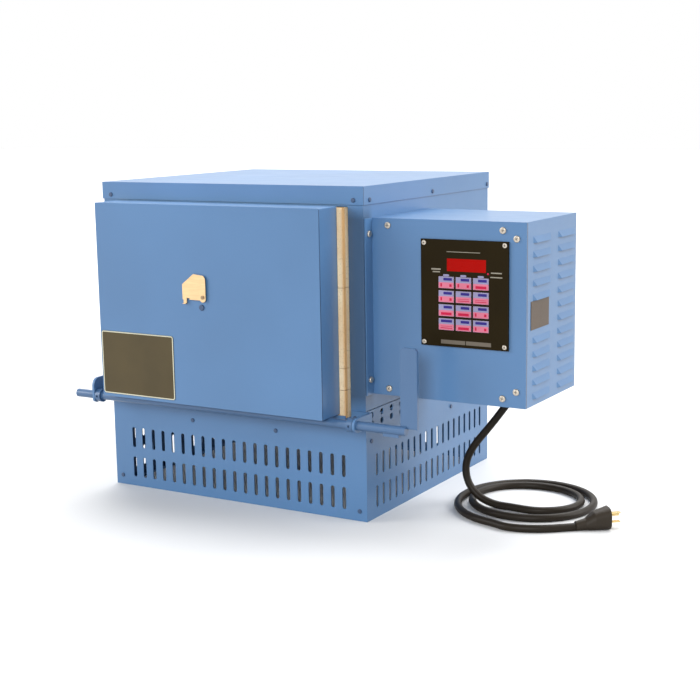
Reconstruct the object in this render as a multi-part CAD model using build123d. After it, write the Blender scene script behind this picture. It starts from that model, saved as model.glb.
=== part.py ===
"""Bench heat treating furnace with a drop-down door, a side control box and its supply cord.

Lengths are in millimetres. While it is drawn, x runs from the left side of the case, y from the
front of the case towards the back, and z from the bench. The finished pieces are then moved so
that the origin lies under the middle of the furnace, on the bench.
"""
import math
import os

from build123d import *

# Overall sizes
case_width = 453.0
case_depth = 400.0
overall_height = 471.0
stand_height = 149.0
sheet = 1.5
running_gap = 0.3
overlap = 0.01

# Stand: slotted skirt that carries the case
stand_side_rise = 10.0
stand_flange = 13.0
slot_width = 6.0
slot_height = 32.0
slot_pitch = 18.9
slot_row_low = 30.5
slot_row_high = 77.5
front_slot_count = 21
side_slot_count = 19
vent_radius = 4.5
vent_pitch = 28.2
vent_first = 17.0
vent_count = 5
vent_row_low_drop = 20.0
vent_row_high_drop = 7.7
side_seam = 1.0

# Lid: shallow cap over the top of the case
lid_skirt = 25.5
lid_overhang = 1.5
lid_sheet = 1.2

# Firebrick body, with its front standing proud of the case
brick_wall = 63.5
brick_side_gap = 24.3
brick_proud = 13.8
brick_back_gap = 24.0
brick_top_drop = 28.5
brick_length = 228.6
brick_lip = 5.0
mortar = 0.5
course_heights = (39.5, 31.0, 112.0)

# Heating elements in grooves of the side walls
groove_size = 14.0
element_radius = 4.5
element_lower_rise = 41.0
element_upper_drop = 36.5
element_front = 22.0

# Thermocouple through the right wall
sheath_radius = 4.0
sheath_bore_radius = 4.3
sheath_reach = 12.0
sheath_depth = 150.0
sheath_drop = 18.5
sheath_head = 20.0
sheath_head_depth = 12.0

# Door
door_side_margin = 33.5
door_over_brick = 1.9
door_depth = 46.8
door_gap = 0.5
door_rise = 6.6
peephole_radius = 8.0
peephole_from_left = 174.0
peephole_from_bottom = 171.9

# Hinge rod under the door, with its collars, brackets and lever
rod_radius = 6.35
rod_bore_clearance = 0.08
rod_in_front = 40.0
rod_drop = 6.35
rod_left_end = 34.6
rod_right_reach = 85.0
collar_radius = 10.0
collar_length = 9.0
collar_gap = 0.6
set_screw_radius = 1.8
set_screw_depth = 3.0
ear_thickness = 4.0
left_ear_inset = 1.0
left_ear_reach = 9.6
left_ear_top = 27.4
left_ear_bottom = 10.4
left_ear_rounding = 12.0
right_ear_outset = 6.0
right_ear_radius = 10.0
bracket_flange = 22.0
bracket_plate = 3.0
lever_from_case = 75.5
lever_width = 25.4
lever_thickness = 4.8
lever_length = 112.75
lever_corner = 6.0
lever_setback = 4.0
lug_length = 24.0
lug_width = 8.0
lug_drop = 3.0

# Peephole cover, swinging on a rivet, with its outline measured from the peephole's middle
cover_sheet = 1.0
cover_standoff = 2.5
cover_left_reach = 16.1
cover_right_reach = 24.4
cover_bottom_reach = 16.9
cover_shoulder_reach = 4.7
cover_top_reach = 20.1
cover_peak_right = 4.0
cover_top_slope = (2.9, 1.9)
cover_corner_drop = 7.2
cover_lobe_drop = 1.9
pivot_right = 19.3
pivot_below = 12.7
rivet_radius = 1.7
rivet_head_radius = 2.7
rivet_washer_radius = 4.0
rivet_head = 1.0
rivet_play = 0.1
pivot_clearance = 0.06
cover_tab_inset = 1.6
cover_tab_width = 5.6
cover_tab_drop = 6.0
cover_tab_length = 2.5
cover_notch_width = 5.2
cover_notch_rise = 2.2
door_screw_right = 14.9
door_screw_below = 27.6

# Plates that are only fixed on
door_plate_size = (133.4, 94.6)
door_plate_thickness = 0.8
door_plate_inset = 2.2
door_plate_rise = 4.7
rating_plate_size = (60.6, 38.0)
rating_plate_setback = 14.6
rating_plate_rise = 102.7
rating_plate_thickness = 0.6

# Control box on the right side of the case
box_width = 230.0
box_depth = 173.6
box_height = 245.5
box_setback = 21.4
box_top_drop = 43.9
box_flange = 19.0
box_return = 64.0
box_flange_gap = 0.1
louver_length = 59.0
louver_height = 10.5
louver_reach = 3.4
louver_end_taper = 7.0
louver_sheet = 1.0
louver_pitch = 18.9
louver_count = 12
louver_top_drop = 18.1
louver_front_setback = 21.6
louver_back_setback = 107.6
louvers_under_plate = (5, 6)

# Controller on the front of the control box
face_width = 128.0
face_height = 144.0
face_thickness = 3.0
face_inset = 77.9
face_rise = 75.9
key_width = 22.4
key_height = 15.6
key_thickness = 1.6
key_proud = 0.3
key_travel = 0.4
key_clearance = 0.35
key_stem_radius = 2.0
key_stem_gap = 0.1
key_pitch_x = 25.4
key_pitch_z = 18.8
key_first_inset = 37.9
key_first_rise = 86.7
key_columns = 3
key_rows = 4
window_size = (57.0, 17.0)
window_inset = 38.9
window_rise = 102.0
window_thickness = 1.6

# Parts inside the control box
board_size = (118.0, 132.0)
board_thickness = 1.6
standoff_length = 8.0
standoff_radius = 3.0
relay_size = (36.0, 30.0, 44.0)
transformer_size = (44.0, 38.0, 40.0)

# Screws: head radius, head height, shank radius, shank length
silver_screw = (4.6, 2.4, 2.0, 7.0)
face_screw = (3.3, 1.6, 1.5, 7.5)
painted_screw = (3.2, 1.6, 1.6, 7.0)
door_screw = (4.3, 2.0, 1.8, 7.0)
screw_hole_clearance = 0.2
screw_rounding = 0.6

# Screw places: in from the panel's side edge, and up from the bench or in from the other edge
stand_front_screw_row = 116.4
stand_front_screw_columns = (152.3, 301.5)
stand_corner_screw = (12.4, 14.5)
stand_side_screw_row = 114.8
stand_side_screw_columns = (14.1, 264.8)
lid_front_screw_inset = 14.6
lid_side_screw_columns = (15.2, 203.2, 393.2)
lid_screw_drop = 19.0
panel_screw_left = (26.0, 9.7)
panel_screw_right = (33.2, 11.3)
panel_screw_corner = (13.6, 21.7)
flange_screw_inset = 21.5
flange_screw_setback = 12.5
face_screw_inset = 5.0

# Supply cord and plug
cord_radius = 5.5
cord_exit_right = 166.5
cord_exit_back = 123.6
relief_length = 26.7
relief_top_radius = 9.5
relief_end_radius = 7.0
relief_grooves = 4
relief_groove_first = 9.3
relief_groove_pitch = 4.0
# Points of the hanging stretch: how far left of the exit, and the share of the box's height above
# the bench that is left at that point
fall_points = (
    (15.6, 0.877),
    (38.8, 0.694),
    (71.0, 0.480),
    (84.0, 0.320),
    (81.0, 0.165),
    (63.3, 0.048),
    (37.5, 0.0),
    (10.5, 0.0),
)
# The loose coil widens from turn to turn, while its middle drifts forward
coil_middle_left = 3.4
coil_middle_back = 51.6
coil_drift = (3.4, -10.6)
coil_reach = (74.0, 65.4)
coil_growth = (17.7, 27.7)
coil_first_turn = -0.25
coil_quarters = 8
tail_end_right = 96.5
tail_end_front = 53.0
tail_heading = 41.0
plug_length = 47.0
# Plug outline: share of its length, size across it there and the radius of its corners
plug_outline = ((0.0, 13.2, 6.6), (0.3, 16.5, 7.9), (0.55, 24.8, 9.3), (1.0, 31.0, 11.2))
blade_width = 6.35
blade_thickness = 1.5
blade_length = 17.0
blade_spacing = 12.7
ground_radius = 2.4
ground_length = 20.0
ground_offset = 11.9

# Sizes worked out from those above
stand_side_height = stand_height + stand_side_rise
vent_row_low = stand_side_height - vent_row_low_drop
vent_row_high = stand_side_height - vent_row_high_drop
lid_bottom = overall_height - lid_skirt
case_top = overall_height - lid_sheet
brick_bottom = stand_height + sheet
brick_top = overall_height - brick_top_drop
brick_left_face = brick_side_gap
brick_right_face = case_width - brick_side_gap
brick_back = case_depth - brick_back_gap
chamber_left = brick_left_face + brick_wall
chamber_right = brick_right_face - brick_wall
chamber_floor = brick_bottom + brick_wall
chamber_roof = brick_top - brick_wall
chamber_back = brick_back - brick_wall
element_lower_height = chamber_floor + element_lower_rise
element_upper_height = chamber_roof - element_upper_drop
sheath_height = chamber_roof - sheath_drop
door_left = door_side_margin
door_right = case_width - door_side_margin
door_bottom = stand_height + door_rise
door_top = brick_top + door_over_brick
door_back = -brick_proud - door_gap
door_front = door_back - door_depth
rod_y = -rod_in_front
rod_z = door_bottom - rod_drop
rod_right_end = case_width + rod_right_reach
left_ear = (left_ear_inset, left_ear_inset + ear_thickness)
right_ear = (case_width + right_ear_outset, case_width + right_ear_outset + ear_thickness)
lever_left = case_width + lever_from_case
lever_top = rod_z + lever_length
peephole_x = door_left + peephole_from_left
peephole_z = door_bottom + peephole_from_bottom
cover_left = peephole_x - cover_left_reach
cover_right = peephole_x + cover_right_reach
cover_bottom = peephole_z - cover_bottom_reach
cover_shoulder = peephole_z + cover_shoulder_reach
cover_top = peephole_z + cover_top_reach
pivot_x = peephole_x + pivot_right
pivot_z = peephole_z - pivot_below
door_screw_x = peephole_x + door_screw_right
door_screw_z = peephole_z - door_screw_below
box_front = box_setback
box_left = case_width
box_right = box_left + box_width
box_back = box_front + box_depth
box_top = overall_height - box_top_drop
box_bottom = box_top - box_height
louver_top = box_top - louver_top_drop
louver_front_column = box_front + louver_front_setback
louver_back_column = box_front + louver_back_setback
rating_plate_front = box_front + rating_plate_setback
rating_plate_bottom = box_bottom + rating_plate_rise
face_front = box_front - face_thickness
face_left = box_left + face_inset
face_bottom = box_bottom + face_rise
key_first_x = face_left + key_first_inset
key_first_z = face_bottom + key_first_rise
window_left = face_left + window_inset
window_bottom = face_bottom + window_rise
exit_x = box_left + cord_exit_right
fall_plane = box_front + cord_exit_back
coil_middle_x = exit_x - coil_middle_left
coil_middle_y = fall_plane + coil_middle_back
tail_end = (exit_x + tail_end_right, fall_plane - tail_end_front)
tail_angle = math.radians(tail_heading)
tail_direction = Vector(math.cos(tail_angle), math.sin(tail_angle), 0)

stand_front_screws = [(x, stand_front_screw_row) for x in stand_front_screw_columns]
stand_front_screws.append(stand_corner_screw)
stand_front_screws.append((case_width - stand_corner_screw[0], stand_corner_screw[1]))
stand_side_screws = [(y, stand_side_screw_row) for y in stand_side_screw_columns]
lid_front_screws = (lid_front_screw_inset, case_width - lid_front_screw_inset)
lid_screw_height = overall_height - lid_screw_drop
box_flange_screws = (box_bottom + flange_screw_inset, box_top - flange_screw_inset)
box_panel_screws = [
    (x, z)
    for x, from_end in (
        (box_left + panel_screw_left[0], panel_screw_left[1]),
        (box_right - panel_screw_right[0], panel_screw_right[1]),
        (box_right - panel_screw_corner[0], panel_screw_corner[1]),
    )
    for z in (box_top - from_end, box_bottom + from_end)
]

# The origin: under the middle of the furnace without its cord
left_reach = -rod_left_end
right_reach = box_right + louver_reach
front_reach = door_front - cover_standoff - cover_sheet - cover_tab_length
back_reach = case_depth + lid_overhang
origin_x = (left_reach + right_reach) / 2
origin_y = (front_reach + back_reach) / 2


def block(x, y, z):
    """Box between two values on each axis."""
    size = (x[1] - x[0], y[1] - y[0], z[1] - z[0])
    middle = ((x[0] + x[1]) / 2, (y[0] + y[1]) / 2, (z[0] + z[1]) / 2)
    return Pos(*middle) * Box(*size)


def rod_along_x(radius, x, y, z):
    """Cylinder along x between two values."""
    return Pos((x[0] + x[1]) / 2, y, z) * Rot(0, 90, 0) * Cylinder(radius, x[1] - x[0])


def rod_along_y(radius, x, y, z):
    """Cylinder along y between two values."""
    return Pos(x, (y[0] + y[1]) / 2, z) * Rot(90, 0, 0) * Cylinder(radius, y[1] - y[0])


def screw(kind, place, facing):
    """Pan head screw whose head sits on a face at place and points along facing."""
    head_radius, head_height, shank_radius, shank_length = kind
    plane = Plane(origin=place, z_dir=facing)
    head = Pos(0, 0, head_height / 2) * Cylinder(head_radius, head_height)
    head = fillet(head.edges().group_by(Axis.Z)[-1], head_height * screw_rounding)
    shank = Pos(0, 0, -shank_length / 2) * Cylinder(shank_radius, shank_length)
    return plane * (head + shank)


def screw_hole(kind, place, facing):
    """Cylinder to cut for the shank of a screw."""
    radius = kind[2] + screw_hole_clearance
    return Plane(origin=place, z_dir=facing) * Cylinder(radius, 2 * kind[3] + 1)


def write(node, *solids):
    """Move the solids to the origin and write them as one node."""
    moved = [Pos(-origin_x, -origin_y, 0) * solid for solid in solids]
    shape = moved[0] if len(moved) == 1 else Compound(children=moved)
    export_step(shape, f"parts/{node}.step")


def slot_cuts(middle, count, through, along):
    """Two rows of upright slots, centred on middle, through a panel along x or y."""
    outline = SlotOverall(slot_height, slot_width, rotation=90)
    first = middle - (count - 1) * slot_pitch / 2
    cuts = []
    for row in (slot_row_low, slot_row_high):
        for number in range(count):
            place = first + number * slot_pitch
            if along == "y":
                plane = Plane((place, through, row), x_dir=(1, 0, 0), z_dir=(0, -1, 0))
            else:
                plane = Plane((through, place, row), x_dir=(0, 1, 0), z_dir=(1, 0, 0))
            cuts.append(extrude(plane * outline, 2 * sheet, both=True))
    return cuts


def make_stand():
    """Four slotted panels with inward flanges, and their screws."""
    flange_ends = (stand_flange + 2 * sheet, case_width - stand_flange - 2 * sheet)
    for node, outer, inward in (("stand_front", 0.0, 1), ("stand_back", case_depth, -1)):
        faces = sorted((outer, outer + inward * sheet))
        lip = sorted((outer + inward * sheet / 2, outer + inward * stand_flange))
        panel = block((0, case_width), faces, (0, stand_height))
        panel += block(flange_ends, lip, (stand_height - sheet, stand_height))
        panel += block(flange_ends, lip, (0, sheet))
        panel -= slot_cuts(case_width / 2, front_slot_count, outer, "y")
        if inward == 1:
            panel -= [
                screw_hole(painted_screw, (x, 0, z), (0, -1, 0))
                for x, z in stand_front_screws
            ]
        write(node, panel)
    for node, outer, inward in (("stand_left", 0.0, 1), ("stand_right", case_width, -1)):
        faces = sorted((outer, outer + inward * sheet))
        lip = sorted((outer + inward * sheet / 2, outer + inward * stand_flange))
        tab = sorted((outer + inward * sheet / 2, outer + inward * (stand_flange + sheet)))
        long_way = (stand_flange + 2 * sheet, case_depth - stand_flange - 2 * sheet)
        panel = block(faces, (sheet, case_depth - sheet), (0, stand_side_height))
        panel += block(lip, long_way, (stand_height - sheet, stand_height))
        panel += block(lip, long_way, (0, sheet))
        for y in ((sheet, 2 * sheet), (case_depth - 2 * sheet, case_depth - sheet)):
            panel += block(tab, y, (2 * sheet, stand_height - 2 * sheet))
        panel -= slot_cuts(case_depth / 2, side_slot_count, outer, "x")
        for number in range(vent_count):
            y = vent_first + number * vent_pitch
            for z in (vent_row_low, vent_row_high):
                panel -= rod_along_x(vent_radius, (outer - 2 * sheet, outer + 2 * sheet), y, z)
        panel -= [
            screw_hole(painted_screw, (outer, y, z), (-inward, 0, 0))
            for y, z in stand_side_screws
        ]
        for x, z in stand_front_screws:
            panel -= screw_hole(painted_screw, (x, 0, z), (0, -1, 0))
        write(node, panel)
    screws = [screw(painted_screw, (x, 0, z), (0, -1, 0)) for x, z in stand_front_screws]
    screws += [screw(painted_screw, (0, y, z), (-1, 0, 0)) for y, z in stand_side_screws]
    screws += [screw(painted_screw, (case_width, y, z), (1, 0, 0)) for y, z in stand_side_screws]
    write("stand_screws", *screws)


def make_case():
    """Floor pan, front frame, side and back panels, lid and lid screws."""
    inside = (sheet, case_width - sheet)
    pan = block(inside, (sheet, case_depth - sheet), (stand_height, brick_bottom))
    under_bricks = (brick_left_face, brick_right_face)
    lip_back = -brick_proud - running_gap
    lip_front = lip_back - sheet
    pan += block(under_bricks, (lip_front, 2 * sheet), (stand_height, brick_bottom))
    pan += block(under_bricks, (lip_front, lip_back), (stand_height, stand_height + brick_lip))
    write("case_floor_pan", pan)

    frame = block((0, case_width), (0, sheet), (brick_bottom - sheet, case_top - running_gap))
    frame -= block(
        (brick_left_face - running_gap, brick_right_face + running_gap),
        (-sheet, 2 * sheet),
        (0, brick_top + running_gap),
    )
    for x in lid_front_screws:
        frame -= screw_hole(painted_screw, (x, 0, lid_screw_height), (0, -1, 0))
    write("case_front_frame", frame)

    upright = (stand_side_height + side_seam, case_top - running_gap)
    left = block((0, sheet), (sheet, case_depth - sheet), upright)
    right = block((case_width - sheet, case_width), (sheet, case_depth - sheet), upright)
    for y in lid_side_screw_columns:
        left -= screw_hole(painted_screw, (0, y, lid_screw_height), (-1, 0, 0))
        right -= screw_hole(painted_screw, (case_width, y, lid_screw_height), (1, 0, 0))
    for z in box_flange_screws:
        right -= screw_hole(silver_screw, (case_width, flange_screw_setback, z), (1, 0, 0))
    right -= rod_along_x(
        sheath_bore_radius, (case_width - 3 * sheet, case_width + sheet), sheath_depth, sheath_height
    )
    write("case_left_panel", left)
    write("case_right_panel", right)
    back = block(
        (0, case_width), (case_depth - sheet, case_depth), (stand_height, case_top - running_gap)
    )
    write("case_back_panel", back)

    outer_x = (-lid_overhang, case_width + lid_overhang)
    outer_y = (-lid_overhang, case_depth + lid_overhang)
    inner_x = (outer_x[0] + lid_sheet, outer_x[1] - lid_sheet)
    inner_y = (outer_y[0] + lid_sheet, outer_y[1] - lid_sheet)
    lid = block(outer_x, outer_y, (lid_bottom, overall_height))
    lid -= block(inner_x, inner_y, (lid_bottom - sheet, overall_height - lid_sheet))
    screws = []
    for x in lid_front_screws:
        place = (x, outer_y[0], lid_screw_height)
        lid -= screw_hole(painted_screw, place, (0, -1, 0))
        screws.append(screw(painted_screw, place, (0, -1, 0)))
    for y in lid_side_screw_columns:
        for x, way in ((outer_x[0], -1), (outer_x[1], 1)):
            place = (x, y, lid_screw_height)
            lid -= screw_hole(painted_screw, place, (way, 0, 0))
            screws.append(screw(painted_screw, place, (way, 0, 0)))
    write("top_lid", lid)
    write("lid_screws", *screws)


def make_blanket():
    """Ceramic fibre between the bricks and the case."""
    back_face = case_depth - sheet
    cavity = (2 * sheet, back_face - running_gap)
    side_height = (stand_side_height + 2 * side_seam, brick_top)
    left = block((sheet, brick_left_face), cavity, side_height)
    right = block((brick_right_face, case_width - sheet), cavity, side_height)
    back = block(
        (brick_left_face, brick_right_face), (brick_back, back_face), (brick_bottom, brick_top)
    )
    top = block(
        (sheet, case_width - sheet), cavity, (brick_top + mortar, case_top - 2 * running_gap)
    )
    right -= rod_along_x(
        sheath_bore_radius,
        (brick_right_face - sheet, case_width),
        sheath_depth,
        sheath_height,
    )
    corner = painted_screw[3] + 2 * sheet
    for y in lid_side_screw_columns:
        for x in (0, case_width):
            top -= rod_along_x(painted_screw[0], (x - corner, x + corner), y, lid_screw_height)
    for x in lid_front_screws:
        top -= rod_along_y(painted_screw[0], x, (-corner, corner), lid_screw_height)
    for z in box_flange_screws:
        flange_place = (case_width - corner, case_width)
        right -= rod_along_x(silver_screw[0], flange_place, flange_screw_setback, z)
    write("fibre_blanket", left, right, back, top)


def course_edges():
    """Heights of the brick courses, from the floor pan up."""
    edges = [brick_bottom]
    for height in course_heights:
        edges.append(edges[-1] + height)
    return edges + [brick_top]


def element_path(x):
    """Hairpin of one heating element: back along the lower groove, up and along the upper one."""
    bend = 0.8 * groove_size
    rear = brick_back - mortar
    return FilletPolyline(
        (x, rear, element_lower_height),
        (x, element_front, element_lower_height),
        (x, element_front, element_upper_height),
        (x, rear, element_upper_height),
        radius=bend,
    )


def make_bricks():
    """Side walls in courses, floor, roof, back wall, and the heating elements in their grooves."""
    heights = course_edges()
    front_half = (-brick_proud, -brick_proud + brick_length)
    rear_half = (front_half[1] + mortar, brick_back)
    half_groove = groove_size / 2
    for node, outer, inner, inward in (
        ("brick_wall_left", brick_left_face, chamber_left, -1),
        ("brick_wall_right", brick_right_face, chamber_right, 1),
    ):
        deep = sorted((inner - inward * sheet, inner + inward * groove_size))
        rear = brick_back + mortar
        groove = []
        for z in (element_lower_height, element_upper_height):
            long_way = (element_front - half_groove, rear)
            groove.append(block(deep, long_way, (z - half_groove, z + half_groove)))
        groove.append(
            block(
                deep,
                (element_front - half_groove, element_front + half_groove),
                (element_lower_height, element_upper_height),
            )
        )
        bricks = []
        for low, high in zip(heights[:-1], heights[1:]):
            for span in (front_half, rear_half):
                brick = block(sorted((outer, inner)), span, (low, high - mortar)) - groove
                if inward == 1:
                    brick -= rod_along_x(
                        sheath_bore_radius,
                        (inner - sheet, outer + sheet),
                        sheath_depth,
                        sheath_height,
                    )
                bricks.append(brick)
        write(node, *bricks)
        element_x = inner + inward * (groove_size - element_radius - running_gap)
        path = element_path(element_x)
        start = Plane(origin=path @ 0, z_dir=path % 0)
        write(
            "heating_element_" + node.rsplit("_", 1)[-1],
            sweep(start * Circle(element_radius), path=path),
        )
    between = (chamber_left, chamber_right)
    floor = block(between, (-brick_proud, brick_back), (brick_bottom, chamber_floor))
    roof = block(between, (-brick_proud, brick_back), (chamber_roof, brick_top - mortar))
    back = block(between, (chamber_back, brick_back), (chamber_floor, chamber_roof))
    write("brick_floor", floor)
    write("brick_roof", roof)
    write("brick_wall_back", back)


def make_thermocouple():
    """Ceramic sheath through the right wall, with its terminal head inside the control box."""
    head = (case_width, case_width + sheath_head_depth)
    half = sheath_head / 2
    sheath = rod_along_x(
        sheath_radius, (chamber_right - sheath_reach, head[0]), sheath_depth, sheath_height
    )
    block_head = block(
        head,
        (sheath_depth - half, sheath_depth + half),
        (sheath_height - half, sheath_height + half),
    )
    write("thermocouple", sheath + block_head)


def rod_bore(x):
    """Cut for the hinge rod through an ear, with its running clearance."""
    return rod_along_x(rod_radius + rod_bore_clearance, (x[0] - sheet, x[1] + sheet), rod_y, rod_z)


def make_hinge_brackets():
    """Brackets on the front of the furnace that carry the hinge rod."""
    left_front = rod_y - left_ear_reach
    left_height = (rod_z - left_ear_bottom, rod_z + left_ear_top)
    left = block(left_ear, (left_front, 0), left_height)
    front_edges = left.edges().filter_by(Axis.X).group_by(Axis.Y)[0].sort_by(Axis.Z)
    left = fillet(front_edges[1], left_ear_rounding)
    front_edges = left.edges().filter_by(Axis.X).sort_by(Axis.Z)
    low_front = front_edges[:2].sort_by(Axis.Y)[0]
    left = fillet(low_front, left_ear_rounding / 2)
    left_flange = (rod_z + collar_radius, left_height[1])
    flange_right = left_ear[0] + bracket_flange
    left += block((left_ear[0], flange_right), (-bracket_plate, 0), left_flange)
    left -= rod_bore(left_ear)

    right = rod_along_x(right_ear_radius, right_ear, rod_y, rod_z)
    right_flange = (rod_z - right_ear_radius, rod_z + right_ear_radius)
    right += block(right_ear, (rod_y, 0), right_flange)
    flange_left = case_width - bracket_flange
    right += block((flange_left, right_ear[1]), (-bracket_plate, 0), right_flange)
    right -= rod_bore(right_ear)

    left_screw = ((left_ear[1] + flange_right) / 2, -bracket_plate, sum(left_flange) / 2)
    right_screw = (flange_left + left_ear_rounding / 2, -bracket_plate, rod_z)
    left -= screw_hole(painted_screw, left_screw, (0, -1, 0))
    right -= screw_hole(painted_screw, right_screw, (0, -1, 0))
    write("hinge_bracket_left", left)
    write("hinge_bracket_right", right)
    short = painted_screw[:3] + (bracket_plate - running_gap,)
    write(
        "bracket_screws",
        screw(short, left_screw, (0, -1, 0)),
        screw(short, right_screw, (0, -1, 0)),
    )


def make_door():
    """Door shell, its bricks, the hinge rod with collars, and the plate on its front."""
    whole = (door_left, door_right)
    upright = (door_bottom, door_top)
    shell = block(whole, (door_front, door_back), upright)
    inner_x = (door_left + sheet, door_right - sheet)
    inner_z = (door_bottom + sheet, door_top - sheet)
    shell -= block(inner_x, (door_front + sheet, door_back + sheet), inner_z)
    peephole = rod_along_y(peephole_radius, peephole_x, (door_front - sheet, 0), peephole_z)
    shell -= peephole
    shell -= rod_along_y(rivet_radius, pivot_x, (door_front - sheet, door_front + 2 * sheet), pivot_z)
    door_screw_place = (door_screw_x, door_front, door_screw_z)
    shell -= screw_hole(door_screw, door_screw_place, (0, -1, 0))
    shell = fillet(shell.edges().filter_by(Axis.Y).group_by(SortBy.LENGTH)[-1], sheet)
    write("door_shell", shell)

    names = ("door_brick_lower", "door_brick_middle", "door_brick_upper")
    rise = (inner_z[1] - inner_z[0] + mortar) / len(names)
    screw_reach = (door_front, door_front + door_screw[3] + sheet)
    screw_room = rod_along_y(door_screw[0], door_screw_x, screw_reach, door_screw_z)
    rivet_reach = (door_front, door_front + 3 * sheet)
    rivet_room = rod_along_y(rivet_washer_radius, pivot_x, rivet_reach, pivot_z)
    for number, name in enumerate(names):
        low = inner_z[0] + number * rise
        slab = block(inner_x, (door_front + sheet, door_back), (low, low + rise - mortar))
        write(name, slab - peephole - screw_room - rivet_room)

    write("hinge_rod", rod_along_x(rod_radius, (-rod_left_end, rod_right_end), rod_y, rod_z))
    collars = []
    for start in (left_ear[1] + collar_gap, right_ear[0] - collar_gap - collar_length):
        span = (start, start + collar_length)
        collar = rod_along_x(collar_radius, span, rod_y, rod_z)
        collar -= rod_along_x(rod_radius, span, rod_y, rod_z)
        middle = sum(span) / 2
        front = rod_y - collar_radius
        collar -= rod_along_y(
            set_screw_radius, middle, (front - sheet, front + set_screw_depth), rod_z
        )
        collars.append(collar)
    write("hinge_collars", *collars)

    plate_x = (door_left + door_plate_inset, door_left + door_plate_inset + door_plate_size[0])
    plate_z = (door_bottom + door_plate_rise, door_bottom + door_plate_rise + door_plate_size[1])
    plate = block(plate_x, (door_front - door_plate_thickness, door_front), plate_z)
    plate = fillet(plate.edges().filter_by(Axis.Y), 5 * door_plate_thickness)
    write("door_plate", plate)

    washer_reach = (door_front - cover_standoff + rivet_play, door_front)
    washer = rod_along_y(rivet_washer_radius, pivot_x, washer_reach, pivot_z)
    head_back = door_front - cover_standoff - cover_sheet - rivet_play
    rivet_head_solid = rod_along_y(
        rivet_head_radius, pivot_x, (head_back - rivet_head, head_back), pivot_z
    )
    rivet = rod_along_y(rivet_radius, pivot_x, (head_back - rivet_head, door_front + sheet), pivot_z)
    rivet += washer + rivet_head_solid
    write("door_fasteners", rivet, screw(door_screw, door_screw_place, (0, -1, 0)))


def make_lever():
    """Flat lever on the right end of the hinge rod, and the lug under the rod."""
    face = rod_y - lever_setback + lever_thickness
    right = lever_left + lever_width
    upright = (rod_z + rod_radius / 2, lever_top)
    bar = block((lever_left, right), (face, face + lever_thickness), upright)
    bar = fillet(bar.edges().filter_by(Axis.Y).group_by(Axis.Z)[-1], lever_corner)
    lug_right = lever_left - running_gap
    rod = rod_along_x(rod_radius, (lug_right - lug_length - 1, rod_right_end), rod_y, rod_z)
    lug = block(
        (lug_right - lug_length, lug_right),
        (rod_y - lug_width / 2, rod_y + lug_width / 2),
        (rod_z - rod_radius - lug_drop, rod_z),
    )
    write("lever_handle", bar - rod, lug - rod)


def make_cover():
    """Thin cover over the peephole, bored for its rivet, with a bent tab beside a notch."""
    back = door_front - cover_standoff
    front = back - cover_sheet
    outline = Polyline(
        (cover_left, cover_bottom),
        (cover_left, cover_shoulder),
        (peephole_x + cover_peak_right, cover_top),
        (cover_right - cover_top_slope[0], cover_top - cover_top_slope[1]),
        (cover_right, cover_top - cover_corner_drop),
        (cover_right, cover_bottom),
        close=True,
    )
    profile = make_face(Plane.XZ * outline)
    plate = extrude(Pos(0, front, 0) * profile, cover_sheet, dir=(0, 1, 0))
    plate = fillet(plate.edges().filter_by(Axis.Y), cover_sheet)
    lobe_radius = cover_right - pivot_x
    plate += rod_along_y(lobe_radius, pivot_x, (front, back), pivot_z - cover_lobe_drop)
    tab_left = cover_left + cover_tab_inset
    tab_right = tab_left + cover_tab_width
    tab_foot = cover_bottom - cover_tab_drop
    plate += block((tab_left, tab_right), (front, back), (tab_foot, cover_bottom + cover_sheet))
    plate += block(
        (tab_left, tab_right), (front - cover_tab_length, back), (tab_foot, tab_foot + cover_sheet)
    )
    notch = (cover_bottom - cover_sheet, cover_bottom + cover_notch_rise)
    plate -= block((tab_right, tab_right + cover_notch_width), (front - sheet, back + sheet), notch)
    bore = rivet_radius + pivot_clearance
    plate -= rod_along_y(bore, pivot_x, (front - sheet, back + sheet), pivot_z)
    write("peephole_cover", plate)


def louver(y, z):
    """Outside and inside of one louver on the right side: a hood that is open at its foot."""
    def hood(start, end, foot, reach, top):
        side = Polyline(
            (box_right - foot, z), (box_right + reach, z), (box_right - foot, top), close=True
        )
        wedge = extrude(Pos(0, start, 0) * make_face(Plane.XZ * side), end - start, dir=(0, 1, 0))
        plan = Polyline(
            (box_right - foot, start),
            (box_right, start),
            (box_right + reach, start + louver_end_taper),
            (box_right + reach, end - louver_end_taper),
            (box_right, end),
            (box_right - foot, end),
            close=True,
        )
        return wedge & extrude(Pos(0, 0, z) * make_face(plan), louver_height, dir=(0, 0, 1))

    outer = hood(y, y + louver_length, sheet / 2, louver_reach, z + louver_height)
    inner = hood(
        y + louver_sheet,
        y + louver_length - louver_sheet,
        sheet * 1.5,
        louver_reach - louver_sheet,
        z + louver_height - 2 * louver_sheet,
    )
    return outer, Pos(0, 0, -overlap) * inner


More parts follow.
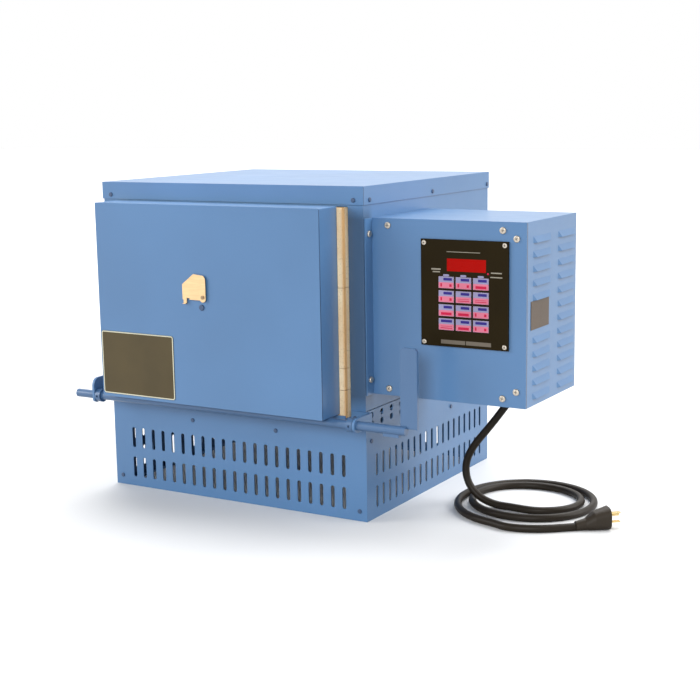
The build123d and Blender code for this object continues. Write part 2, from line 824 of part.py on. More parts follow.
def make_control_box():
    """Louvered shell, front panel, screws, rating plate and the parts inside."""
    x = (box_left, box_right)
    y = (box_front + sheet, box_back)
    z = (box_bottom, box_top)
    shell = block((x[0], x[1]), y, z)
    shell -= block((x[0] - sheet, x[1] - sheet), (0, y[1] - sheet), (z[0] + sheet, z[1] - sheet))
    shell += block((x[0], x[0] + sheet), (y[0], box_return), z)
    flange = block((x[0], x[0] + sheet), (box_front - box_flange, y[0] - box_flange_gap), z)
    for column, start in enumerate((louver_front_column, louver_back_column)):
        for number in range(louver_count):
            if column == 0 and number in louvers_under_plate:
                continue
            foot = louver_top - number * louver_pitch - louver_height
            outer, inner = louver(start, foot)
            shell = shell + outer - inner
    flange -= [
        screw_hole(silver_screw, (case_width + sheet, flange_screw_setback, height), (1, 0, 0))
        for height in box_flange_screws
    ]
    relief_axis = relief_plane()
    shell -= relief_axis * Cylinder(relief_top_radius + running_gap, 16 * sheet)
    write("control_box_shell", shell, flange)

    panel = block((x[0] + sheet, x[1]), (box_front, box_front + sheet), z)
    screws = []
    for place_x, place_z in box_panel_screws:
        place = (place_x, box_front, place_z)
        panel -= screw_hole(silver_screw, place, (0, -1, 0))
        screws.append(screw(silver_screw, place, (0, -1, 0)))
    for height in box_flange_screws:
        place = (case_width + sheet, flange_screw_setback, height)
        screws.append(screw(silver_screw, place, (1, 0, 0)))
    for place_x, place_z in face_screw_places():
        panel -= screw_hole(face_screw, (place_x, box_front, place_z), (0, -1, 0))
        screws.append(screw(face_screw, (place_x, face_front, place_z), (0, -1, 0)))
    write("control_front_panel", panel)
    write("panel_screws", *screws)

    plate_y = (rating_plate_front, rating_plate_front + rating_plate_size[0])
    plate_z = (rating_plate_bottom, rating_plate_bottom + rating_plate_size[1])
    plate = block((box_right, box_right + rating_plate_thickness), plate_y, plate_z)
    write("rating_plate", plate)


def face_screw_places():
    """Corner screws of the controller's face plate."""
    return [
        (face_left + face_screw_inset, face_bottom + face_screw_inset),
        (face_left + face_width - face_screw_inset, face_bottom + face_screw_inset),
        (face_left + face_screw_inset, face_bottom + face_height - face_screw_inset),
        (face_left + face_width - face_screw_inset, face_bottom + face_height - face_screw_inset),
    ]


def key_places():
    """Middle of each key, row by row from the top."""
    for row in range(key_rows):
        for column in range(key_columns):
            yield key_first_x + column * key_pitch_x, key_first_z - row * key_pitch_z


def make_controller():
    """Face plate with its keys and display window, and the electronics behind the panel."""
    plate = block(
        (face_left, face_left + face_width),
        (face_front, box_front),
        (face_bottom, face_bottom + face_height),
    )
    key_front = face_front - key_proud
    key_back = key_front + key_thickness
    stem_end = box_front - key_travel - key_stem_gap
    for number, (x, z) in enumerate(key_places(), start=1):
        half_x = key_width / 2
        half_z = key_height / 2
        key = block((x - half_x, x + half_x), (key_front, key_back), (z - half_z, z + half_z))
        key += rod_along_y(key_stem_radius, x, (key_back, stem_end), z)
        write(f"key_{number:02d}", key)
        plate -= block(
            (x - half_x - key_clearance, x + half_x + key_clearance),
            (face_front - sheet, box_front + sheet),
            (z - half_z - key_clearance, z + half_z + key_clearance),
        )
    window_x = (window_left, window_left + window_size[0])
    window_z = (window_bottom, window_bottom + window_size[1])
    window_y = (face_front, face_front + window_thickness)
    plate -= block(window_x, (face_front - sheet, window_y[1]), window_z)
    for x, z in face_screw_places():
        plate -= screw_hole(face_screw, (x, box_front, z), (0, -1, 0))
    write("controller_face", plate)
    write("display_window", block(window_x, window_y, window_z))

    back = box_front + sheet
    board_front = back + standoff_length
    middle_x = face_left + face_width / 2
    middle_z = face_bottom + face_height / 2
    half_x = board_size[0] / 2
    half_z = board_size[1] / 2
    board = block(
        (middle_x - half_x, middle_x + half_x),
        (board_front, board_front + board_thickness),
        (middle_z - half_z, middle_z + half_z),
    )
    inset = 4 * standoff_radius
    for x in (middle_x - half_x + inset, middle_x + half_x - inset):
        for z in (middle_z - half_z + inset, middle_z + half_z - inset):
            board += rod_along_y(standoff_radius, x, (back, board_front), z)
    write("circuit_board", board)

    rear = box_back - sheet
    relay = block(
        (middle_x - relay_size[0], middle_x),
        (rear - relay_size[1], rear),
        (middle_z, middle_z + relay_size[2]),
    )
    write("power_relay", relay)
    floor = box_bottom + sheet
    core = block(
        (box_left + 2 * box_flange, box_left + 2 * box_flange + transformer_size[0]),
        (rear - 2 * transformer_size[1], rear - transformer_size[1]),
        (floor, floor + transformer_size[2]),
    )
    write("transformer", core)


def fall_line():
    """Points of the hanging stretch, from the strain relief down to the bench."""
    height = box_bottom - cord_radius
    return [
        Vector(exit_x - left, fall_plane, cord_radius + share * height)
        for left, share in fall_points
    ]


def relief_plane():
    """Plane across the cord where it leaves the bottom of the control box."""
    exit_point = Vector(exit_x, fall_plane, box_bottom)
    return Plane(origin=exit_point, z_dir=fall_line()[0] - exit_point)


def cord_tube(path, where):
    """Round tube along a path, with its volume compared with section times length."""
    start = Plane(origin=path @ 0, z_dir=path % 0)
    tube = sweep(start * Circle(cord_radius), path=path)
    ratio = tube.volume / (math.pi * cord_radius**2 * path.length)
    print(f"{where}: length {path.length:.0f}, volume ratio {ratio:.4f}")
    return tube


def corner_radii(points):
    """As large an arc at each corner as its two runs allow."""
    radii = []
    for before, here, after in zip(points, points[1:], points[2:]):
        turn = (here - before).get_angle(after - here)
        run = min((here - before).length, (after - here).length)
        radii.append(0.45 * run / math.tan(math.radians(turn) / 2))
    return radii


def coil_point(turn):
    """Point and heading of the loose coil after a number of turns."""
    angle = 2 * math.pi * turn
    reach_x = coil_reach[0] + coil_growth[0] * turn
    reach_y = coil_reach[1] + coil_growth[1] * turn
    x = coil_middle_x + coil_drift[0] * turn + reach_x * math.cos(angle)
    y = coil_middle_y + coil_drift[1] * turn + reach_y * math.sin(angle)
    heading = Vector(-math.sin(angle), math.cos(angle), 0)
    return Vector(x, y, cord_radius), heading


def quarter_turn(start, heading, end, end_heading):
    """Two arcs in line with each other that carry the cord from one heading to the next."""
    chord = end - start
    closing = 1 - heading.dot(end_heading)
    along = chord.dot(heading + end_heading)
    root = math.sqrt(along**2 + 2 * closing * chord.dot(chord))
    reach = (root - along) / (2 * closing)
    middle = (start + end + (heading - end_heading) * reach) * 0.5
    first = TangentArc(start, middle, tangent=heading)
    second = TangentArc(middle, end, tangent=first % 1)
    return [first, second]


def coil_gap(path):
    """Least gap between different turns of the coil, measured on points along it."""
    count = 400
    length = path.length
    points = [path @ (number / count) for number in range(count + 1)]
    apart = round(6 * cord_radius * count / length)
    least = math.inf
    for number, point in enumerate(points):
        for other in points[number + apart:]:
            least = min(least, (other - point).length)
    return least - 2 * cord_radius


def make_cord():
    """Strain relief, hanging stretch, loose coil and plug."""
    mouth = relief_plane()
    inside = -4 * sheet
    cone = Cone(relief_top_radius, relief_end_radius, relief_length - inside)
    relief = mouth * Pos(0, 0, (relief_length + inside) / 2) * cone
    for number in range(relief_grooves):
        groove_place = relief_groove_first + number * relief_groove_pitch
        groove = Cylinder(relief_top_radius + sheet, sheet)
        groove -= Cylinder(relief_end_radius - 2 * running_gap, sheet)
        relief -= mouth * Pos(0, 0, groove_place) * groove
    write("strain_relief", relief)

    points = fall_line()
    radii = corner_radii(points)
    print("cord radii:", ", ".join(f"{radius:.0f}" for radius in radii))
    write("power_cord", cord_tube(FilletPolyline(*points, radius=radii), "hanging stretch"))

    lead = Vector(2 * cord_radius, 0, 0)
    start = coil_point(coil_first_turn)[0]
    arcs = [Line(points[-1], points[-1] + lead)]
    here = points[-1] + lead
    heading = Vector(1, 0, 0)
    for quarter in range(1, coil_quarters + 1):
        end, end_heading = coil_point(coil_first_turn + quarter / 4)
        arcs += quarter_turn(here, heading, end, end_heading)
        here = end
        heading = end_heading
    end = Vector(tail_end[0], tail_end[1], cord_radius)
    arcs += quarter_turn(here, heading, end, tail_direction)
    arcs.append(Line(end, end + tail_direction * 2 * cord_radius))
    coil = Wire(arcs)
    print(f"coil: start {start.X:.1f} {start.Y:.1f}, least gap {coil_gap(coil):.2f}")
    write("cord_coil", cord_tube(coil, "loose coil"))

    plug_start = end + tail_direction * 2 * cord_radius
    make_plug(plug_start)


def make_plug(start):
    """Moulded plug lying on the bench, with two blades and a ground pin."""
    across = Plane(origin=(start.X, start.Y, 0), x_dir=(-tail_direction.Y, tail_direction.X, 0),
                   z_dir=tail_direction)
    up = 1 if across.y_dir.Z > 0 else -1
    sections = []
    for share, size, corner in plug_outline:
        profile = RectangleRounded(size, size, corner - overlap)
        sections.append(across * Pos(0, up * size / 2, share * plug_length) * profile)
    body = loft(sections[:2], ruled=True)
    body += loft(sections[1:3], ruled=True)
    body += loft(sections[2:], ruled=True)
    write("plug_body", body)

    middle = up * plug_outline[-1][1] / 2
    prongs = []
    for side in (-1, 1):
        place = Pos(0, middle + side * blade_spacing / 2, plug_length + blade_length / 2)
        blade = place * Box(blade_width, blade_thickness, blade_length)
        prongs.append(across * blade)
    pin = Pos(ground_offset, middle, plug_length + ground_length / 2)
    prongs.append(across * (pin * Cylinder(ground_radius, ground_length)))
    write("plug_prongs", *prongs)


def main():
    os.makedirs("parts", exist_ok=True)
    make_stand()
    make_case()
    make_blanket()
    make_bricks()
    make_thermocouple()
    make_hinge_brackets()
    make_door()
    make_lever()
    make_cover()
    make_control_box()
    make_controller()
    make_cord()
    print(f"origin {origin_x:.2f} {origin_y:.2f}")


main()
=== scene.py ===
"""Looks of the bench heat treating furnace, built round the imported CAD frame."""
import math

import bmesh
import bpy
from mathutils import Matrix, Vector


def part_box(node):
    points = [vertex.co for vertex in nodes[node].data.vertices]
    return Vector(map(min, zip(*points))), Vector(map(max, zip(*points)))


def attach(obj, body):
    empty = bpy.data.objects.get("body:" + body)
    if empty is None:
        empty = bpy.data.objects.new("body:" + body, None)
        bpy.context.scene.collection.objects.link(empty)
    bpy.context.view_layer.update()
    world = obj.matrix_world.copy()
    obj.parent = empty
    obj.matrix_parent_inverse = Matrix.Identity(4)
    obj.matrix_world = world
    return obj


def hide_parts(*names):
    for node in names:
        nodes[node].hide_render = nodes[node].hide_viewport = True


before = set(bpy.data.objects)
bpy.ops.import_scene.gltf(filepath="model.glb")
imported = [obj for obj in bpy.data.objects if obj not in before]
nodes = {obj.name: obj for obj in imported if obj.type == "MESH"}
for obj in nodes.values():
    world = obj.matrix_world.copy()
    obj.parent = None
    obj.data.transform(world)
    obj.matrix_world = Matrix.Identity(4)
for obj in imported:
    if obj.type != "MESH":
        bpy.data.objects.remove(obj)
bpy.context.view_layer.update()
scene = bpy.context.scene

# Places are in millimetres from the case's front left corner at bench height: x to the right, y to
# the back, z up. The frame's origin lies at this x and y.
ORIGIN_X = 325.90
ORIGIN_Y = 167.20

# Camera of the photograph, its angles in degrees
CAMERA_PLACE = (1378.3, -1604.4, 578.0)
CAMERA_YAW = -30.614
CAMERA_PITCH = 10.13
CAMERA_ROLL = -0.922
SENSOR_WIDTH = 36.0
FOCAL_PIXELS = 1366.36
PICTURE_PIXELS = 700

# Paint. Painted shade darkens the recess beside the door, which is given by the end of its depth
# and its lower and upper height, and lies as a thin dark line along a seam, given by its depth,
# half its width in metres and the height where it ends.
BLUE = (0.084, 0.200, 0.395)
ROD_BLUE = (0.062, 0.140, 0.280)
SCREW_BLUE = (0.045, 0.085, 0.17)
RECESS = (26.0, 160.0, 446.0)
# Share of the colour left under the painted shade in the recess
RECESS_SHADE_SHARE = 0.46
DOOR_SEAM = (-59.8, 0.0007, 443.6)
LID_SEAM = (-0.6, 0.0005, 470.0)
BOX_SEAM = (24.0, 0.0012, 426.6)
# Share of the colour left under the painted shade along a seam
SEAM_SHADE_SHARE = 0.28

# Firebrick. Joint lines are given by axis number, first line and pitch in metres.
BRICK_CREAM = (1.0, 0.82, 0.55)
BRICK_TAN = (0.84, 0.57, 0.31)
BRICK_PORE = (0.42, 0.27, 0.13)
BRICK_JOINT = (0.24, 0.15, 0.08)
# Painted shade: a browner band along the corner of the brick beside the door, given by its tone,
# corner and half width
CORNER_SHADE_TONE = (0.78, 0.46, 0.20)
SHADED_CORNER = (428.7, -11.7)
CORNER_SHADE_HALF = 0.0042
BRICK_WIDTH = 0.1143
BRICK_LENGTH = 0.2286
CHAMBER_LEFT = 87.8
CHAMBER_FLOOR = 214.0
FIRST_CROSS_JOINT = -16.3

# The door's fasteners: a painted screw below this height and a brass rivet above it
RIVET_BROWN = (0.40, 0.26, 0.14)
SCREW_TO_RIVET = 307.5

# Cord: how far left of the strain relief and at what share of the box's height each point hangs,
# then the coil's middle, half axes and what each turn adds to them, then the way to the plug
BENCH_TO_BOX = 181.6
CORD_RADIUS = 5.5
CORD_EXIT_X = 619.5
FALL_PLANE = 145.0
FALL_POINTS = (
    (15.6, 0.877),
    (38.8, 0.694),
    (71.0, 0.480),
    (84.0, 0.320),
    (81.0, 0.165),
    (63.3, 0.048),
    (37.5, 0.0),
    (10.5, 0.0),
)
COIL_MIDDLE = (616.1, 196.6)
COIL_DRIFT = (3.4, -10.6)
COIL_REACH = (74.0, 65.4)
COIL_GROWTH = (17.7, 27.7)
COIL_FIRST_TURN = -0.25
COIL_TURNS = 2
COIL_STEPS = 16
# The spline runs inside its points, so the coil's points are set a little further out
COIL_OUTWARD = 1.019
TAIL_POINTS = ((641.0, 54.4), (668.0, 60.0), (693.0, 72.6), (716.0, 92.0), (724.3, 99.2))

# Printed borders and patches, as ranges of x and z on faces that look to the front
PRINT_SINK = 0.02
CORNER_STEPS = 5
DOOR_PLATE = ((36.0, 168.8), (160.6, 254.6))
DOOR_PLATE_FRONT = -61.9
BORDER_WIDTH = 1.5
BORDER_RADIUS = 3.8
BORDER_THICKNESS = 0.08
KEY_COUNT = 12
KEY_COLUMNS = 3
KEY_FIRST_X = 568.8
KEY_FIRST_Z = 344.2
KEY_PITCH_X = 25.4
KEY_PITCH_Z = 18.8
KEY_HALF_WIDTH = 11.0
KEY_HALF_HEIGHT = 7.6
KEY_FRONT = 18.1
HALVES_OVERLAP = 0.2
LABEL_LEFT = 4.0
LONG_LABEL_LEFT = 8.0
LONG_LABEL_KEYS = (9, 11)
LABEL_RIGHT = 8.6
LABEL_HEIGHTS = (2.6, 6.2)
# Marks on the lower half of a key, as ranges of x and z from its middle
BLOCK_MARKS = (((-8.6, -6.2), (-5.8, -1.2)), ((4.8, 8.2), (-5.6, -2.0)))
BAR_MARKS = (((-7.8, 8.0), (-6.2, -2.6)),)
BAR_KEYS = (2, 6, 7, 10)
LINE_MARKS = (((-8.6, 8.6), (-5.6, -4.6)), ((-8.6, 8.6), (-3.0, -2.4)))
LINE_KEYS = (4, 5, 9)
FACE_FRONT = 18.4
TAB_LEFT = 4.6
TAB_RIGHT = 4.2
TAB_HEIGHTS = (352.4, 355.2)
# Patches of the face plate: x, z, thickness, corner radius and number of the print's colour
FACE_PRINT = (
    ((569.5, 618.5), (385.0, 385.9), 0.06, 0.3, 1),
    ((546.6, 560.6), (360.6, 362.6), 0.06, 0.4, 1),
    ((548.6, 559.6), (357.2, 358.8), 0.06, 0.4, 1),
    ((634.0, 649.6), (359.0, 360.6), 0.06, 0.4, 1),
    ((633.0, 650.4), (353.4, 354.9), 0.06, 0.4, 1),
    ((560.7, 596.6), (261.3, 266.7), 0.06, 0.4, 2),
    ((597.8, 634.4), (261.3, 266.7), 0.06, 0.4, 2),
    ((628.4, 631.2), (356.9, 359.7), 0.25, 1.4, 3),
)

# Screws with cross recesses: x and z of each, depth of the heads and half length of the slots
PANEL_SCREWS = (
    (479.0, 417.4), (479.0, 191.3), (649.8, 415.8), (649.8, 192.9), (669.4, 405.4), (669.4, 203.3),
)
PANEL_SCREW_HEAD = 19.0
PANEL_SLOT_REACH = 2.3
FACE_SCREWS = ((535.9, 262.5), (653.9, 262.5), (535.9, 396.5), (653.9, 396.5))
FACE_SCREW_HEAD = 16.8
FACE_SLOT_REACH = 1.6
SLOT_DEPTH = 0.0001
SLOT_WIDTH = 0.0007
SLOT_TURN = 37

# Heating elements, in metres
ELEMENT_RADIUS = 0.0045
ELEMENT_BEND = 0.0112
WINDING_PITCH = 0.0034
WINDING_RADIUS = 0.0037
WIRE_RADIUS = 0.0007
POINTS_PER_TURN = 12

# Floor and room. The seen tones are for the picture and for reflections, the others for soft light.
FLOOR_HALF = 14.0
FLOOR_TONE = (0.79, 0.79, 0.79)
FLOOR_BOUNCE = (0.26, 0.27, 0.28)
FRONT_TONE = (0.46, 0.47, 0.49)
BACKDROP_TONE = (1.0, 1.0, 1.0)
BACKDROP_START = -0.20
BACKDROP_END = 0.35
ROOM_TONE = (0.34, 0.35, 0.36)
# Lamps: azimuth round from +X, elevation, strength and width, the angles in degrees
KEY_LIGHT = (283.0, 19.0, 1.6, 26.0)
SIDE_LIGHT = (214.0, 20.0, 1.6, 34.0)
FILL_LIGHT = (24.0, 34.0, 2.6, 44.0)
TOP_LIGHT = (114.0, 60.0, 2.7, 50.0)


def at(x, y, z):
    """Point given in millimetres from the case's front left corner, in the row frame."""
    return Vector(((x - ORIGIN_X) / 1000, (y - ORIGIN_Y) / 1000, z / 1000))


# Camera
def make_camera():
    """Camera of the photograph: 30.6 degrees to the right, 10.1 degrees down, slightly rolled."""
    yaw = math.radians(CAMERA_YAW)
    pitch = math.radians(CAMERA_PITCH)
    roll = math.radians(CAMERA_ROLL)
    forward = Vector(
        (math.sin(yaw) * math.cos(pitch), math.cos(yaw) * math.cos(pitch), -math.sin(pitch))
    )
    right = Vector((math.cos(yaw), -math.sin(yaw), 0))
    up = right.cross(forward)
    tilted_right = right * math.cos(roll) + up * math.sin(roll)
    tilted_up = up * math.cos(roll) - right * math.sin(roll)
    turn = Matrix((tilted_right, tilted_up, -forward)).transposed()
    data = bpy.data.cameras.new("photo_camera")
    data.sensor_width = SENSOR_WIDTH
    data.lens = SENSOR_WIDTH * FOCAL_PIXELS / PICTURE_PIXELS
    data.clip_start = 0.05
    data.clip_end = 100
    camera = bpy.data.objects.new("photo_camera", data)
    camera.matrix_world = Matrix.Translation(at(*CAMERA_PLACE)) @ turn.to_4x4()
    scene.collection.objects.link(camera)
    scene.camera = camera


make_camera()
scene.view_settings.view_transform = "Standard"


# Material helpers
def link(tree, source, target):
    """Link from an output to an input."""
    tree.links.new(source, target)


def add(tree, kind, **values):
    """New node, with its inputs set by name."""
    node = tree.nodes.new(kind)
    for key, value in values.items():
        node.inputs[key].default_value = value
    return node


def math_node(tree, operation, first, second=None):
    """Math node on sockets or numbers."""
    node = tree.nodes.new("ShaderNodeMath")
    node.operation = operation
    for number, value in enumerate((first, second)):
        if value is None:
            continue
        if isinstance(value, (int, float)):
            node.inputs[number].default_value = value
        else:
            link(tree, value, node.inputs[number])
    return node.outputs[0]


def mix_colors(tree, factor, first, second):
    """Mix of two colours, each a socket or a tuple."""
    node = tree.nodes.new("ShaderNodeMix")
    node.data_type = "RGBA"
    link(tree, factor, node.inputs["Factor"])
    for socket, value in ((node.inputs[6], first), (node.inputs[7], second)):
        if isinstance(value, tuple):
            socket.default_value = (*value, 1.0)
        else:
            link(tree, value, socket)
    return node.outputs[2]


def ramp(tree, source, low, high):
    """0 below low, 1 above high, straight between."""
    node = tree.nodes.new("ShaderNodeMapRange")
    link(tree, source, node.inputs["Value"])
    node.inputs["From Min"].default_value = low
    node.inputs["From Max"].default_value = high
    return node.outputs["Result"]


def noise(tree, place, scale, detail=2.0, roughness=0.5):
    """Value of a noise texture at a place."""
    node = add(tree, "ShaderNodeTexNoise", Scale=scale, Detail=detail, Roughness=roughness)
    link(tree, place, node.inputs["Vector"])
    return node.outputs["Fac"]


def split_place(tree, place):
    """The place's x, y and z as three outputs."""
    split = tree.nodes.new("ShaderNodeSeparateXYZ")
    link(tree, place, split.inputs[0])
    return split.outputs


def scaled(color, share):
    """The colour times a share, with no part above 1."""
    return tuple(min(1.0, share * part) for part in color)


def vary_roughness(tree, shader, source, low, high):
    """Roughness between two values, as the source runs from 0 to 1."""
    rough = tree.nodes.new("ShaderNodeMapRange")
    link(tree, source, rough.inputs["Value"])
    rough.inputs["To Min"].default_value = max(0.05, low)
    rough.inputs["To Max"].default_value = high
    link(tree, rough.outputs["Result"], shader.inputs["Roughness"])


def start_material(name):
    """Material with a Principled shader, and its object coordinates."""
    material = bpy.data.materials.new(name)
    material.use_nodes = True
    tree = material.node_tree
    shader = tree.nodes["Principled BSDF"]
    place = tree.nodes.new("ShaderNodeTexCoord").outputs["Object"]
    return material, tree, shader, place


def bump(tree, shader, height, distance, strength, round_edges):
    """Fine relief on edges that look rounded by the given radius."""
    node = add(tree, "ShaderNodeBump", Strength=strength, Distance=distance)
    link(tree, height, node.inputs["Height"])
    edge = tree.nodes.new("ShaderNodeBevel")
    edge.samples = 4
    edge.inputs["Radius"].default_value = round_edges
    link(tree, edge.outputs[0], node.inputs["Normal"])
    link(tree, node.outputs[0], shader.inputs["Normal"])


def paint_material(name, color, roughness=0.40, edges=0.0008, coat=0.35, recess=None, seam=None):
    """Powder coat: a faint orange peel, slow drifts of tone and softly rounded edges.

    Inside the recess the colour is darkened as painted shade, and a seam gets a thin dark line of
    painted shade.
    """
    material, tree, shader, place = start_material(name)
    drift = noise(tree, place, 4.0, 3.0)
    fleck = noise(tree, place, 700.0, 1.0)
    tone = mix_colors(
        tree, ramp(tree, drift, 0.35, 0.65), scaled(color, 0.93), scaled(color, 1.05)
    )
    speck = math_node(tree, "MULTIPLY", ramp(tree, fleck, 0.45, 0.75), 0.10)
    tone = mix_colors(tree, speck, tone, scaled(color, 0.7))
    # Painted shade in the recess beside the door
    if recess:
        along = split_place(tree, place)
        deep = at(0, recess[0], 0).y
        low = at(0, 0, recess[1]).z
        high = at(0, 0, recess[2]).z
        recess_shade_mask = ramp(tree, along["Y"], deep, deep - 0.012)
        recess_shade_mask = math_node(tree, "MULTIPLY", recess_shade_mask, ramp(tree, along["Z"], low, low + 0.02))
        recess_shade_mask = math_node(tree, "MULTIPLY", recess_shade_mask, ramp(tree, along["Z"], high, high - 0.02))
        tone = mix_colors(tree, recess_shade_mask, tone, scaled(color, RECESS_SHADE_SHARE))
    # Painted shade along the seam, as a thin dark line
    if seam:
        along = split_place(tree, place)
        half = seam[1]
        end = at(0, 0, seam[2]).z
        away = math_node(tree, "SUBTRACT", along["Y"], at(0, seam[0], 0).y)
        away = math_node(tree, "ABSOLUTE", away)
        dark = ramp(tree, away, 1.3 * half, 0.7 * half)
        dark = math_node(tree, "MULTIPLY", dark, ramp(tree, along["Z"], end, end - 0.0004))
        tone = mix_colors(tree, dark, tone, scaled(color, SEAM_SHADE_SHARE))
    link(tree, tone, shader.inputs["Base Color"])
    vary_roughness(
        tree, shader, noise(tree, place, 35.0, 2.0), roughness - 0.04, roughness + 0.05
    )
    shader.inputs["Coat Weight"].default_value = coat
    shader.inputs["Coat Roughness"].default_value = 0.25
    peel = noise(tree, place, 420.0, 2.0)
    bump(tree, shader, peel, 0.0003, 0.25, edges)
    return material


def brick_material(name, joints=(), corner_shade=False):
    """Insulating firebrick: cream, full of small pores, with a browner band of painted shade along
    one corner.

    The band of painted shade lies where x and y add up to those of the shaded corner, so it follows
    that corner.
    """
    material, tree, shader, place = start_material(name)
    cloud = noise(tree, place, 14.0, 5.0, 0.62)
    tone = mix_colors(tree, ramp(tree, cloud, 0.35, 0.68), BRICK_CREAM, BRICK_TAN)
    # Painted shade along the corner of the brick beside the door
    if corner_shade:
        across = split_place(tree, place)
        corner = at(*SHADED_CORNER, 0)
        away = math_node(tree, "ADD", across["X"], across["Y"])
        away = math_node(tree, "SUBTRACT", away, corner.x + corner.y)
        away = math_node(tree, "ABSOLUTE", away)
        band = ramp(tree, away, 1.4 * CORNER_SHADE_HALF, 0.5 * CORNER_SHADE_HALF)
        tone = mix_colors(tree, band, tone, CORNER_SHADE_TONE)
    pores = add(tree, "ShaderNodeTexVoronoi", Scale=330.0)
    link(tree, place, pores.inputs["Vector"])
    pits = ramp(tree, pores.outputs["Distance"], 0.42, 0.10)
    coarse = noise(tree, place, 160.0, 4.0, 0.7)
    pits = math_node(tree, "MULTIPLY", pits, ramp(tree, coarse, 0.42, 0.62))
    tone = mix_colors(tree, math_node(tree, "MULTIPLY", pits, 0.55), tone, BRICK_PORE)
    height = math_node(tree, "SUBTRACT", coarse, pits)
    if joints:
        split = split_place(tree, place)
        lines = None
        for axis, start, pitch in joints:
            along = math_node(tree, "SUBTRACT", split[axis], start)
            along = math_node(tree, "DIVIDE", along, pitch)
            away = math_node(tree, "PINGPONG", math_node(tree, "ADD", along, 50.0), 0.5)
            line = ramp(tree, away, 0.0011 / pitch, 0.0004 / pitch)
            lines = line if lines is None else math_node(tree, "MAXIMUM", lines, line)
        tone = mix_colors(tree, lines, tone, BRICK_JOINT)
        height = math_node(tree, "SUBTRACT", height, math_node(tree, "MULTIPLY", lines, 2.0))
    link(tree, tone, shader.inputs["Base Color"])
    shader.inputs["Roughness"].default_value = 0.95
    shader.inputs["Specular IOR Level"].default_value = 0.2
    bump(tree, shader, height, 0.0006, 0.6, 0.0015)
    return material


def fastener_material(name, lower, upper, height):
    """Painted screw below a height and brown brass rivet above it, as one material."""
    material, tree, shader, place = start_material(name)
    above = ramp(tree, split_place(tree, place)["Z"], height - 0.0005, height + 0.0005)
    wear = ramp(tree, noise(tree, place, 600.0, 3.0), 0.35, 0.7)
    worn = mix_colors(tree, wear, upper, scaled(upper, 0.65))
    link(tree, mix_colors(tree, above, lower, worn), shader.inputs["Base Color"])
    shader.inputs["Roughness"].default_value = 0.38
    bump(tree, shader, wear, 0.0001, 0.3, 0.0003)
    return material


def metal_material(name, color, roughness, brush=(1.0, 1.0, 1.0)):
    """Metal with fine brush lines stretched along one axis and drifting roughness."""
    material, tree, shader, place = start_material(name)
    stretch = add(tree, "ShaderNodeMapping", Scale=brush)
    link(tree, place, stretch.inputs["Vector"])
    lines = noise(tree, stretch.outputs[0], 900.0, 2.0)
    drift = noise(tree, place, 25.0, 3.0)
    both = math_node(tree, "MULTIPLY", math_node(tree, "ADD", lines, drift), 0.5)
    tone = mix_colors(tree, ramp(tree, both, 0.35, 0.65), scaled(color, 0.82), color)
    link(tree, tone, shader.inputs["Base Color"])
    shader.inputs["Metallic"].default_value = 1.0
    vary_roughness(tree, shader, lines, roughness - 0.10, roughness + 0.10)
    bump(tree, shader, lines, 0.0001, 0.2, 0.0004)
    return material


def plastic_material(
    name, color, roughness, texture=0.15, scale=1200.0, edges=0.0004, shine=0.5
):
    """Moulded plastic or printed film with a fine texture."""
    material, tree, shader, place = start_material(name)
    fine = noise(tree, place, scale, 2.0)
    drift = noise(tree, place, 18.0, 3.0)
    tone = mix_colors(
        tree, ramp(tree, drift, 0.3, 0.7), scaled(color, 0.88), scaled(color, 1.08)
    )
    link(tree, tone, shader.inputs["Base Color"])
    vary_roughness(tree, shader, fine, roughness - 0.06, roughness + 0.06)
    shader.inputs["Specular IOR Level"].default_value = shine
    bump(tree, shader, fine, 0.0001, texture, edges)
    return material


blue = paint_material("blue_powder_coat", BLUE)
# These paints carry painted shade: in the recess beside the door, and along the seams of door, lid
# and box
blue_shaded_recess = paint_material("blue_paint_with_recess_shade", BLUE, recess=RECESS)
blue_door = paint_material("blue_door_paint", BLUE, seam=DOOR_SEAM)
blue_lid = paint_material("blue_lid_paint", BLUE, seam=LID_SEAM)
blue_box = paint_material("blue_box_paint", BLUE, seam=BOX_SEAM)
blue_rod = paint_material("blue_rod_paint", ROD_BLUE, 0.34, 0.0006, 0.3)
screw_blue = paint_material("dark_blue_screws", SCREW_BLUE, 0.42, 0.0002, 0.1)
brick = brick_material("firebrick")
# Brick beside the door, with a band of painted shade along its corner
brick_beside_door_shaded = brick_material("firebrick_beside_door_painted_shade", corner_shade=True)
brick_flat = brick_material(
    "firebrick_laid_flat",
    (
        (0, at(CHAMBER_LEFT, 0, 0).x, BRICK_WIDTH),
        (1, at(0, FIRST_CROSS_JOINT, 0).y, BRICK_LENGTH),
    ),
)
brick_wall = brick_material(
    "firebrick_back_wall",
    (
        (0, at(CHAMBER_LEFT, 0, 0).x, BRICK_LENGTH),
        (2, at(0, 0, CHAMBER_FLOOR).z, BRICK_WIDTH),
    ),
)
fasteners = fastener_material(
    "door_rivet_and_screw", SCREW_BLUE, RIVET_BROWN, at(0, 0, SCREW_TO_RIVET).z
)
screw_steel = metal_material("bright_screw_steel", (0.56, 0.50, 0.42), 0.36)
brass_sheet = metal_material("brass_sheet", (0.86, 0.60, 0.33), 0.34, brush=(0.06, 1.0, 1.0))
brass_blade = metal_material("brass_blades", (0.85, 0.64, 0.30), 0.22, brush=(1.0, 1.0, 0.1))
wire = metal_material("oxidised_wire", (0.22, 0.20, 0.19), 0.55)
core = metal_material("transformer_core", (0.28, 0.28, 0.29), 0.5, brush=(1.0, 0.05, 1.0))
